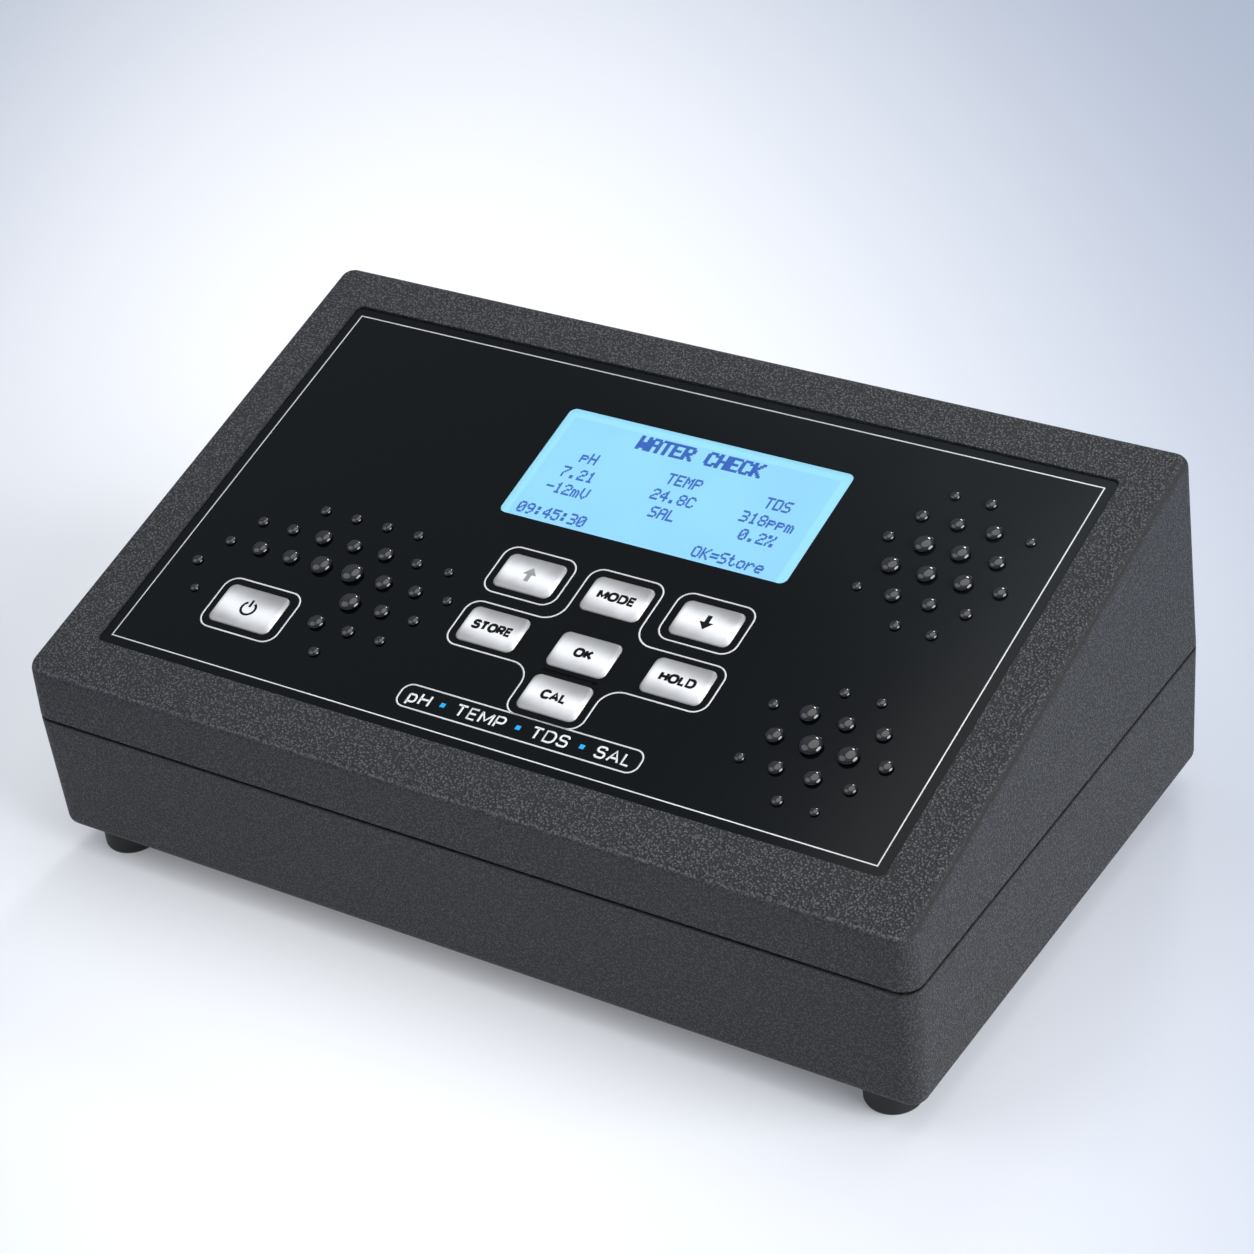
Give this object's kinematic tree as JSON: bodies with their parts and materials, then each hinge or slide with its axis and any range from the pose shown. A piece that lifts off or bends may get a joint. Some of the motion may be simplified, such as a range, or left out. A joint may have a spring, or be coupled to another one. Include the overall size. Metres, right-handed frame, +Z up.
{
  "type": "benchtop multi-parameter meter",
  "caption": "Wedge-shaped benchtop water meter with a sloped membrane keypad, a backlit display and rear sockets for its probes.",
  "frame": {"origin": "on the surface under the feet, at the middle of the footprint of the whole meter with its rear sockets", "axes": "+X to the user's right, the low front edge towards -Y, the sockets towards +Y, +Z up"},
  "size_m": [0.22, 0.141, 0.0844],
  "materials": {
    "case_plastic": "fine moulded grain",
    "foot_rubber": "matt",
    "overlay_film": "satin printed film",
    "spacer_film": "plain",
    "cable_film": "plain film",
    "key_silver": "embossed silver print",
    "spring_steel": "bright",
    "window_clear": "clear",
    "sheet_steel": "bright",
    "display_glass": "cyan backlit display",
    "light_guide": "diffusing",
    "board_laminate": "solder mask",
    "black_moulding": "plain",
    "cell_steel": "bright",
    "capacitor_box": "film capacitor's case",
    "bright_nickel": "nickel plated",
    "white_insulator": "plain",
    "gold_contact": "gold plated"
  },
  "bodies": {
    "root": {"upper_shell": "case_plastic", "lower_shell": "case_plastic", "foot_front_left": "foot_rubber", "foot_front_right": "foot_rubber", "foot_rear_left": "foot_rubber", "foot_rear_right": "foot_rubber", "overlay": "overlay_film", "keypad_spacer": "spacer_film", "keypad_circuit": "cable_film", "display_ribbon": "cable_film", "socket_ribbon": "cable_film", "dome_up": "spring_steel", "dome_mode": "spring_steel", "dome_down": "spring_steel", "dome_store": "spring_steel", "dome_ok": "spring_steel", "dome_hold": "spring_steel", "dome_calibrate": "spring_steel", "dome_power": "spring_steel", "display_window": "window_clear", "display_bezel": "sheet_steel", "input_shield": "sheet_steel", "display_glass": "display_glass", "display_backlight": "light_guide", "display_board": "board_laminate", "main_board": "board_laminate", "socket_board": "board_laminate", "microcontroller": "black_moulding", "buzzer": "black_moulding", "regulator": "black_moulding", "coin_cell_holder": "black_moulding", "flat_cable_connectors": "black_moulding", "temperature_jack": "black_moulding", "power_inlet": "black_moulding", "probe_socket_insert": "black_moulding", "coin_cell": "cell_steel", "case_screws": "cell_steel", "capacitors": "capacitor_box", "bnc_body": "bright_nickel", "bnc_nut": "bright_nickel", "probe_socket_body": "bright_nickel", "probe_socket_nut": "bright_nickel", "temperature_jack_nut": "bright_nickel", "power_inlet_pin": "bright_nickel", "bnc_insulator": "white_insulator", "bnc_contact": "gold_contact", "probe_socket_pins": "gold_contact"},
    "up_key": {"key_up": "key_silver"},
    "mode_key": {"key_mode": "key_silver"},
    "down_key": {"key_down": "key_silver"},
    "store_key": {"key_store": "key_silver"},
    "ok_key": {"key_ok": "key_silver"},
    "hold_key": {"key_hold": "key_silver"},
    "calibrate_key": {"key_calibrate": "key_silver"},
    "power_key": {"key_power": "key_silver"}
  },
  "joints": [
    {"name": "up_press", "type": "slide", "parent": "root", "child": "up_key", "axis": [0, 0.2595, -0.9658], "range_m": [0, 0.00035], "stiffness_N_per_m": 500, "deforming": ["dome_up"]},
    {"name": "mode_press", "type": "slide", "parent": "root", "child": "mode_key", "axis": [0, 0.2595, -0.9658], "range_m": [0, 0.00035], "stiffness_N_per_m": 500, "deforming": ["dome_mode"]},
    {"name": "down_press", "type": "slide", "parent": "root", "child": "down_key", "axis": [0, 0.2595, -0.9658], "range_m": [0, 0.00035], "stiffness_N_per_m": 500, "deforming": ["dome_down"]},
    {"name": "store_press", "type": "slide", "parent": "root", "child": "store_key", "axis": [0, 0.2595, -0.9658], "range_m": [0, 0.00035], "stiffness_N_per_m": 500, "deforming": ["dome_store"]},
    {"name": "ok_press", "type": "slide", "parent": "root", "child": "ok_key", "axis": [0, 0.2595, -0.9658], "range_m": [0, 0.00035], "stiffness_N_per_m": 500, "deforming": ["dome_ok"]},
    {"name": "hold_press", "type": "slide", "parent": "root", "child": "hold_key", "axis": [0, 0.2595, -0.9658], "range_m": [0, 0.00035], "stiffness_N_per_m": 500, "deforming": ["dome_hold"]},
    {"name": "calibrate_press", "type": "slide", "parent": "root", "child": "calibrate_key", "axis": [0, 0.2595, -0.9658], "range_m": [0, 0.00035], "stiffness_N_per_m": 500, "deforming": ["dome_calibrate"]},
    {"name": "power_press", "type": "slide", "parent": "root", "child": "power_key", "axis": [0, 0.2595, -0.9658], "range_m": [0, 0.00035], "stiffness_N_per_m": 500, "deforming": ["dome_power"]}
  ]
}
